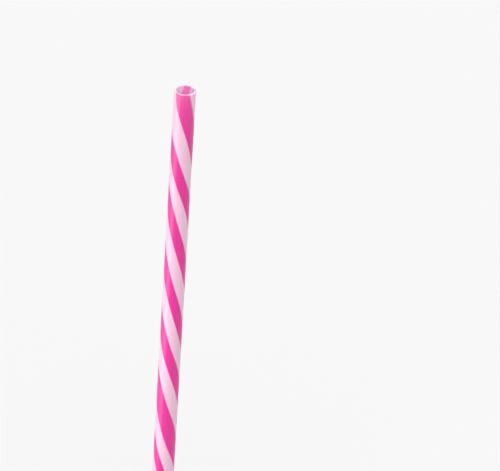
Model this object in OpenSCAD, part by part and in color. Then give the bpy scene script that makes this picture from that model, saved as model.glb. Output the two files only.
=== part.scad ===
// Reusable drinking straw: one straight tube of hard plastic, open at both ends.
// It stands on its lower end, with its axis on Z and its mouth at the top.
// The white and the magenta plastic are extruded together into one wall, so the stripes
// run through its whole thickness and wind round the tube as left-handed helices.

/* [Tube] */
// Outside diameter
outer_d = 7; // [5:0.1:12]
// Thickness of the wall
wall = 0.65; // [0.4:0.05:1.2]
// Length from one cut end to the other
length = 230; // [120:1:300]
// Radius of the edges of the cut ends, inside and outside
rim_r = 0.12; // [0.05:0.01:0.18]

/* [Stripes] */
// White stripes round the tube, with a magenta one after each
stripe_count = 3; // [2:1:6]
// Length in which a stripe winds once round the tube
lead = 67; // [30:1:200]
// Direction of the middle of a white stripe at the mouth, anticlockwise from +X
mouth_angle = 52; // [0:1:120]
// Share of the way round that is white
white_share = 0.52; // [0.2:0.01:0.8]

/* [Hidden] */
outer_r = outer_d / 2;
inner_r = outer_r - wall;
stripe_pitch = 360 / stripe_count;
white_half = stripe_pitch * white_share / 2;
turns = length / lead;
// Straight steps that stand for one turn of a stripe's edge
turn_steps = 6;
// Radii between which the sides of the stripes aim at the axis, clear of both faces of the wall
side_r = [inner_r / 2, outer_r * 1.5];

$fn = 96;

// Half of the tube's lengthwise section, with its four edges rounded
module wall_section() {
  translate([inner_r + rim_r, 0])
    square([wall - 2 * rim_r, length]);
  translate([inner_r, rim_r])
    square([wall, length - 2 * rim_r]);
  for (x = [inner_r + rim_r, outer_r - rim_r], y = [rim_r, length - rim_r])
    translate([x, y])
      circle(r = rim_r);
}

module tube() {
  rotate_extrude()
    wall_section();
}

// Star with one arm for each white stripe
module stripe_star() {
  tip_r = side_r[1] / cos(white_half);
  corners = [
    [side_r[0], -white_half],
    [tip_r, -white_half],
    [tip_r, white_half],
    [side_r[0], white_half]
  ];
  polygon([
    for (i = [0:stripe_count - 1], corner = corners)
      let (angle = i * stripe_pitch + corner[1])
        corner[0] * [cos(angle), sin(angle)]
  ]);
}

// The space that the white plastic takes up in the wall
module white_space() {
  foot_angle = mouth_angle + 360 * turns;
  rotate([0, 0, foot_angle])
    linear_extrude(height = length, twist = 360 * turns, slices = ceil(turns * turn_steps), $fn = turn_steps)
      stripe_star();
}

module straw() {
  color("white")
    intersection() {
      tube();
      white_space();
    }
  color("deeppink")
    difference() {
      tube();
      white_space();
    }
}

straw();
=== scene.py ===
"""A reusable drinking straw of striped plastic, standing on its lower end in a pale studio."""

from math import cos, pi, radians, sin, tau

import bmesh
import bpy
from mathutils import Matrix, Vector


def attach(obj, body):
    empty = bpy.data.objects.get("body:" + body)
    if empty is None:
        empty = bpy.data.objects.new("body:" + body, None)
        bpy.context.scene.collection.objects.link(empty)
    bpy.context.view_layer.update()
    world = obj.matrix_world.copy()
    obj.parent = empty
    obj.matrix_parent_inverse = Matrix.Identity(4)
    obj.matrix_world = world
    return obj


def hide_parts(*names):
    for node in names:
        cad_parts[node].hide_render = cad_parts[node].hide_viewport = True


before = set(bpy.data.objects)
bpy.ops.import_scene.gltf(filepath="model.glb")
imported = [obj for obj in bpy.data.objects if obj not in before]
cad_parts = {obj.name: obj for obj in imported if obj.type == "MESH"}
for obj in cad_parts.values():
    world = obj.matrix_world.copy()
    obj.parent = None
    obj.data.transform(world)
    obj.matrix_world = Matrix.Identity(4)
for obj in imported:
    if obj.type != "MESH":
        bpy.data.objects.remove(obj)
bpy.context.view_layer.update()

MM = 0.001

# The tube, as in the CAD model
OUTER_R = 3.5 * MM
WALL = 0.65 * MM
INNER_R = OUTER_R - WALL
LENGTH = 230 * MM
RIM_R = 0.12 * MM
# Flat strips that the tube's roundings and lengths are made of
ROUND_STEPS = 144
CORNER_STEPS = 5
WALL_STEPS = 115

# The stripes: three white and three magenta, wound as left-handed helices
STRIPE_COUNT = 3
LEAD = 67 * MM
WHITE_SHARE = 0.52
MOUTH_ANGLE = radians(52)
# Half the width of a stripe's soft edge, as a share of the way from one white stripe to the next
EDGE_SOFT = 0.032
# How far the edges drift along the whole straw
DRIFT = radians(12)
# Five bends in the stripes: depth below the mouth, length along the tube, unwound angle,
# narrowness round the tube, where 0 is the whole way round, and how far the stripes move round
WANDERS = (
    (0 * MM, 25 * MM, radians(-35), 3, radians(42)),
    (0 * MM, 25 * MM, radians(80), 3, radians(-46)),
    (0 * MM, 2.5 * MM, radians(205), 3, radians(12)),
    (82 * MM, 38 * MM, 0, 0, radians(-8)),
    (122 * MM, 25 * MM, radians(-78), 3, radians(-26)),
)

# Colours, as linear red, green and blue; each one wavers between its deep and its light tone
MAGENTA_DEEP = (0.74, 0.007, 0.29, 1)
MAGENTA_LIGHT = (0.80, 0.016, 0.35, 1)
# Painted glow: the bore's magenta is paler than the outside's, for light that comes through the
# wall
MAGENTA_BORE_PAINTED_GLOW = (0.98, 0.34, 0.66, 1)
WHITE_DEEP = (0.84, 0.51, 0.65, 1)
WHITE_LIGHT = (0.89, 0.60, 0.74, 1)
# Painted glow: the bore's white is paler than the outside's, for light that comes through the wall
WHITE_BORE_PAINTED_GLOW = (0.99, 0.80, 0.90, 1)
# The cut ends are paler, a painted glow for light that comes through the wall: by one share on the
# rims, whose tone starts and is full at two distances from the end, and by another share that fades
# with that distance
PAINTED_GLOW_TINT = (1.0, 0.70, 0.88, 1)
RIM_PAINTED_GLOW = 0.45
RIM_PASSAGE = (1.2 * RIM_R, 0.3 * RIM_R)
END_PAINTED_GLOW = 0.14
END_PAINTED_GLOW_LENGTH = 5 * MM

# The plastic: how it mirrors, and how far red, green and blue light spread in it
PLASTIC_IOR = 1.55
ROUGHNESS = 0.27
CUT_ROUGHER = 0.25
SPREAD = 0.8 * MM
SPREAD_OF_COLOURS = (1.0, 0.7, 0.85)
# The die's fine lines and the wall's slow waves: how they roughen and raise the surface
LINE_ROUGHER = 0.10
LINE_HEIGHT = 0.0025 * MM
WAVE_HEIGHT = 0.03 * MM

# Noises in the plastic: grains to the millimetre across the tube, layers of detail,
# and density along the tube as a share of that across it
DRIFT_NOISE = (0.06, 1, 1)
CLOUD_NOISE = (0.35, 2, 0.2)
LINE_NOISE = (9, 2, 0.01)
WAVE_NOISE = (0.5, 2, 0.3)

# The studio, with angles in degrees: azimuth 0 is the camera's side and 90 is its right;
# a level of 1 is as bright as white
FILL = 0.27
BACKDROP = 0.94
FLOOR_HALF = 20
FLOOR_ROUGHNESS = 0.9
# Azimuth, elevation and strength of each sun
SUNS = {"front": (0, 42, 1.4), "back": (165, 50, 2.2)}
SUN_WIDTH = 40
KEY_AZIMUTH = -66
KEY_DISTANCE = 0.16
KEY_SIZE = (0.12, 0.26)
KEY_LEVEL = 2.0

# Where the straw stands in the picture, in its pixels
PICTURE_W, PICTURE_H = 500, 471
MOUTH_PX = (185.2, 90.1)
STRAW_W_PX = 22.2
LEAN = radians(3.57)
ELEVATION = radians(30.5)
# Distance of the camera, and how far it sees
CAMERA_FAR = 3.0
SIGHT_END = 100


def add_camera():
    """Looks down on the mouth from far off; the straw leans in the picture as in the photograph."""
    scale = STRAW_W_PX / (2 * OUTER_R)
    away = Vector((0, -cos(ELEVATION), sin(ELEVATION)))
    level_up = Vector((0, sin(ELEVATION), cos(ELEVATION)))
    level_right = Vector((1, 0, 0))
    right = cos(LEAN) * level_right + sin(LEAN) * level_up
    up = cos(LEAN) * level_up - sin(LEAN) * level_right
    mouth = Vector((0, 0, LENGTH))
    across = (MOUTH_PX[0] - PICTURE_W / 2) / scale
    above = (PICTURE_H / 2 - MOUTH_PX[1]) / scale
    middle = mouth - across * right - above * up
    camera = bpy.data.cameras.new("camera")
    camera.lens = scale * CAMERA_FAR * camera.sensor_width / PICTURE_W
    camera.clip_end = SIGHT_END
    eye = bpy.data.objects.new("camera", camera)
    bpy.context.scene.collection.objects.link(eye)
    turn = Matrix((right, up, away)).transposed().to_4x4()
    eye.matrix_world = Matrix.Translation(middle + CAMERA_FAR * away) @ turn
    bpy.context.scene.camera = eye


def direction(azimuth, elevation):
    """Unit vector from the straw, for angles in degrees."""
    a, e = radians(azimuth), radians(elevation)
    return Vector((sin(a) * cos(e), -cos(a) * cos(e), sin(e)))


def add_lamp(name, light, towards, place):
    """A lamp that shines from the given direction; it is returned."""
    lamp = bpy.data.objects.new(name, light)
    bpy.context.scene.collection.objects.link(lamp)
    lamp.rotation_euler = towards.to_track_quat("Z", "Y").to_euler()
    lamp.location = place
    return lamp


def add_sun(name, azimuth, elevation, strength):
    """A soft light from far off."""
    sun = bpy.data.lights.new(name, "SUN")
    sun.energy = strength
    sun.angle = radians(SUN_WIDTH)
    add_lamp(name, sun, direction(azimuth, elevation), (0, 0, 0))


def add_key(lit):
    """A soft panel that stands on the floor and lights one object, so that the floor stays even."""
    width, height = KEY_SIZE
    panel = bpy.data.lights.new("key", "AREA")
    panel.shape = "RECTANGLE"
    panel.size = width
    panel.size_y = height
    panel.energy = KEY_LEVEL * pi * width * height
    towards = direction(KEY_AZIMUTH, 0)
    lamp = add_lamp("key", panel, towards, KEY_DISTANCE * towards + Vector((0, 0, height / 2)))
    lamp.visible_camera = False
    lamp.light_linking.receiver_collection = bpy.data.collections.new("lit_by_key")
    lamp.light_linking.receiver_collection.objects.link(lit)


def add_world():
    """A pale backdrop where it is seen or mirrored, and an even fill for the rest."""
    world = bpy.data.worlds.new("studio")
    world.use_nodes = True
    bpy.context.scene.world = world
    nodes, links = world.node_tree.nodes, world.node_tree.links
    background = nodes["Background"]
    background.inputs["Color"].default_value = (1, 1, 1, 1)
    rays = nodes.new("ShaderNodeLightPath").outputs
    seen = add_math(nodes, links, "MAXIMUM", rays["Is Camera Ray"], rays["Is Glossy Ray"])
    seen = add_math(nodes, links, "MAXIMUM", seen, rays["Is Transmission Ray"])
    level = add_math(nodes, links, "MULTIPLY_ADD", seen, BACKDROP - FILL, FILL)
    links.new(level, background.inputs["Strength"])


def add_floor():
    """A pale floor, far wider than the straw, and as bright as the backdrop."""
    signs = ((-1, -1), (1, -1), (1, 1), (-1, 1))
    corners = [(x * FLOOR_HALF, y * FLOOR_HALF, 0) for x, y in signs]
    mesh = bpy.data.meshes.new("floor")
    mesh.from_pydata(corners, [], [(0, 1, 2, 3)])
    floor = bpy.data.objects.new("floor", mesh)
    bpy.context.scene.collection.objects.link(floor)
    material = bpy.data.materials.new("floor")
    material.use_nodes = True
    shader = material.node_tree.nodes["Principled BSDF"]
    from_suns = sum(strength * sin(radians(elevation)) for _, elevation, strength in SUNS.values())
    grey = BACKDROP / (FILL + from_suns / pi)
    shader.inputs["Base Color"].default_value = (grey, grey, grey, 1)
    shader.inputs["Roughness"].default_value = FLOOR_ROUGHNESS
    shader.inputs["Specular IOR Level"].default_value = 0.0
    mesh.materials.append(material)


def add_math(nodes, links, operation, *values):
    """A Math node on sockets or numbers; its result is returned."""
    node = nodes.new("ShaderNodeMath")
    node.operation = operation
    for socket, value in zip(node.inputs, values):
        if isinstance(value, (int, float)):
            socket.default_value = value
        else:
            links.new(value, socket)
    return node.outputs[0]


def wall_outline():
    """(radius, height) once round the wall's lengthwise section, with rounded rims."""
    corners = [
        (OUTER_R - RIM_R, RIM_R, -90),
        (OUTER_R - RIM_R, LENGTH - RIM_R, 0),
        (INNER_R + RIM_R, LENGTH - RIM_R, 90),
        (INNER_R + RIM_R, RIM_R, 180),
    ]
    points = []
    for n, (r, z, start) in enumerate(corners):
        for i in range(CORNER_STEPS + 1):
            a = radians(start + 90 * i / CORNER_STEPS)
            points.append((r + RIM_R * cos(a), z + RIM_R * sin(a)))
        if n % 2 == 0:
            wall_r, low = points[-1]
            rise = LENGTH - 2 * low
            points += [(wall_r, low + rise * i / WALL_STEPS) for i in range(1, WALL_STEPS)]
    return points


def make_tube():
    """The straw's wall, turned once round the axis."""
    turns = [tau * i / ROUND_STEPS for i in range(ROUND_STEPS)]
    mesh = bpy.data.meshes.new("striped_tube")
    form = bmesh.new()
    rings = [
        [form.verts.new((r * cos(a), r * sin(a), z)) for a in turns]
        for r, z in wall_outline()
    ]
    for n, ring in enumerate(rings):
        after = rings[(n + 1) % len(rings)]
        for i in range(ROUND_STEPS):
            j = (i + 1) % ROUND_STEPS
            form.faces.new((ring[i], ring[j], after[j], after[i]))
    for face in form.faces:
        face.smooth = True
    form.to_mesh(mesh)
    form.free()
    tube = bpy.data.objects.new("striped_tube", mesh)
    bpy.context.scene.collection.objects.link(tube)
    return tube


def striped_plastic():
    """Glossy plastic of two colours, whose stripes depend only on the direction and the height."""
    material = bpy.data.materials.new("striped_plastic")
    material.use_nodes = True
    nodes, links = material.node_tree.nodes, material.node_tree.links
    shader = nodes["Principled BSDF"]

    def calc(operation, *values):
        return add_math(nodes, links, operation, *values)

    def ramp(value, low, high):
        """0 below low and 1 above high, or the other way round, with a soft passage."""
        node = nodes.new("ShaderNodeMapRange")
        node.interpolation_type = "SMOOTHSTEP"
        links.new(value, node.inputs["Value"])
        node.inputs["From Min"].default_value = low
        node.inputs["From Max"].default_value = high
        return node.outputs["Result"]

    def mix(factor, first, second):
        node = nodes.new("ShaderNodeMix")
        node.data_type = "RGBA"
        for name, value in zip(("Factor", "A", "B"), (factor, first, second)):
            if isinstance(value, tuple):
                node.inputs[name].default_value = value
            else:
                links.new(value, node.inputs[name])
        return node.outputs["Result"]

    def noise(grain, detail, along):
        """Noise about 0; along is its density along the tube as a share of that across it."""
        stretch = nodes.new("ShaderNodeMapping")
        links.new(place, stretch.inputs["Vector"])
        stretch.inputs["Scale"].default_value = (1 / MM, 1 / MM, along / MM)
        node = nodes.new("ShaderNodeTexNoise")
        links.new(stretch.outputs["Vector"], node.inputs["Vector"])
        node.inputs["Scale"].default_value = grain
        node.inputs["Detail"].default_value = detail
        return calc("SUBTRACT", node.outputs["Fac"], 0.5)

    place = nodes.new("ShaderNodeTexCoord").outputs["Object"]
    apart = nodes.new("ShaderNodeSeparateXYZ")
    links.new(place, apart.inputs[0])
    x, y, z = apart.outputs
    depth = calc("SUBTRACT", LENGTH, z)
    radius = calc("SQRT", calc("ADD", calc("MULTIPLY", x, x), calc("MULTIPLY", y, y)))

    # Angle round the tube, unwound so that it stays the same along a regular stripe
    unwound = calc("SUBTRACT", calc("ARCTAN2", y, x), calc("MULTIPLY", depth, tau / LEAD))
    moved = unwound
    for at, reach, angle, narrowness, shift in WANDERS:
        along = calc("DIVIDE", calc("SUBTRACT", depth, at), reach)
        fade = calc("EXPONENT", calc("MULTIPLY", calc("MULTIPLY", along, along), -1))
        side = calc("MULTIPLY_ADD", calc("COSINE", calc("SUBTRACT", unwound, angle)), 0.5, 0.5)
        strength = calc("MULTIPLY", calc("POWER", side, narrowness), fade)
        moved = calc("SUBTRACT", moved, calc("MULTIPLY", strength, shift))
    moved = calc("ADD", moved, calc("MULTIPLY", noise(*DRIFT_NOISE), DRIFT))
    from_white = calc("SUBTRACT", moved, MOUTH_ANGLE)
    repeats = calc("FRACT", calc("MULTIPLY_ADD", from_white, STRIPE_COUNT / tau, 0.5))
    off_middle = calc("ABSOLUTE", calc("SUBTRACT", repeats, 0.5))
    white = ramp(off_middle, WHITE_SHARE / 2 + EDGE_SOFT, WHITE_SHARE / 2 - EDGE_SOFT)

    # Painted glow: the bore and the cut rims are painted paler than the outside, standing in for
    # light that comes through the wall
    from_end = calc("MINIMUM", z, depth)
    rim = ramp(from_end, *RIM_PASSAGE)
    # Mask of the bore, where the painted glow goes
    bore_glow_mask = ramp(radius, (INNER_R + OUTER_R) / 2, INNER_R + RIM_R)

    cloud = calc("MULTIPLY_ADD", noise(*CLOUD_NOISE), 0.5, 0.5)
    magenta = mix(cloud, MAGENTA_DEEP, MAGENTA_LIGHT)
    white_tone = mix(cloud, WHITE_DEEP, WHITE_LIGHT)
    outer_colour = mix(white, magenta, white_tone)
    bore_painted_glow_colour = mix(white, MAGENTA_BORE_PAINTED_GLOW, WHITE_BORE_PAINTED_GLOW)
    wall_colour = mix(bore_glow_mask, outer_colour, bore_painted_glow_colour)
    # Painted glow: the colour turns paler near each cut end and on the rims, for light that comes
    # through the wall
    end_glow_fade = calc("EXPONENT", calc("DIVIDE", from_end, -END_PAINTED_GLOW_LENGTH))
    end_painted_glow = calc("MULTIPLY", end_glow_fade, END_PAINTED_GLOW)
    pale = calc("MAXIMUM", calc("MULTIPLY", rim, RIM_PAINTED_GLOW), end_painted_glow)
    colour = mix(pale, wall_colour, PAINTED_GLOW_TINT)
    links.new(colour, shader.inputs["Base Color"])

    # Fine lines left by the die run along the tube, over slow waves in the wall
    lines = noise(*LINE_NOISE)
    waves = noise(*WAVE_NOISE)
    rough = calc("MULTIPLY_ADD", lines, LINE_ROUGHER, ROUGHNESS)
    rough = calc("ADD", rough, calc("MULTIPLY", rim, CUT_ROUGHER))
    links.new(rough, shader.inputs["Roughness"])
    height = calc("ADD", calc("MULTIPLY", lines, LINE_HEIGHT), calc("MULTIPLY", waves, WAVE_HEIGHT))
    bump = nodes.new("ShaderNodeBump")
    bump.inputs["Distance"].default_value = 1.0
    links.new(height, bump.inputs["Height"])
    links.new(bump.outputs["Normal"], shader.inputs["Normal"])

    shader.inputs["IOR"].default_value = PLASTIC_IOR
    shader.inputs["Subsurface Weight"].default_value = 1.0
    shader.inputs["Subsurface Radius"].default_value = SPREAD_OF_COLOURS
    shader.inputs["Subsurface Scale"].default_value = SPREAD
    return material


add_camera()
add_world()
add_floor()
for name, (azimuth, elevation, strength) in SUNS.items():
    add_sun(name, azimuth, elevation, strength)

tube = make_tube()
add_key(tube)
tube.data.materials.append(striped_plastic())
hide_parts("straw")
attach(tube, "root")

bpy.context.scene.view_settings.view_transform = "Standard"
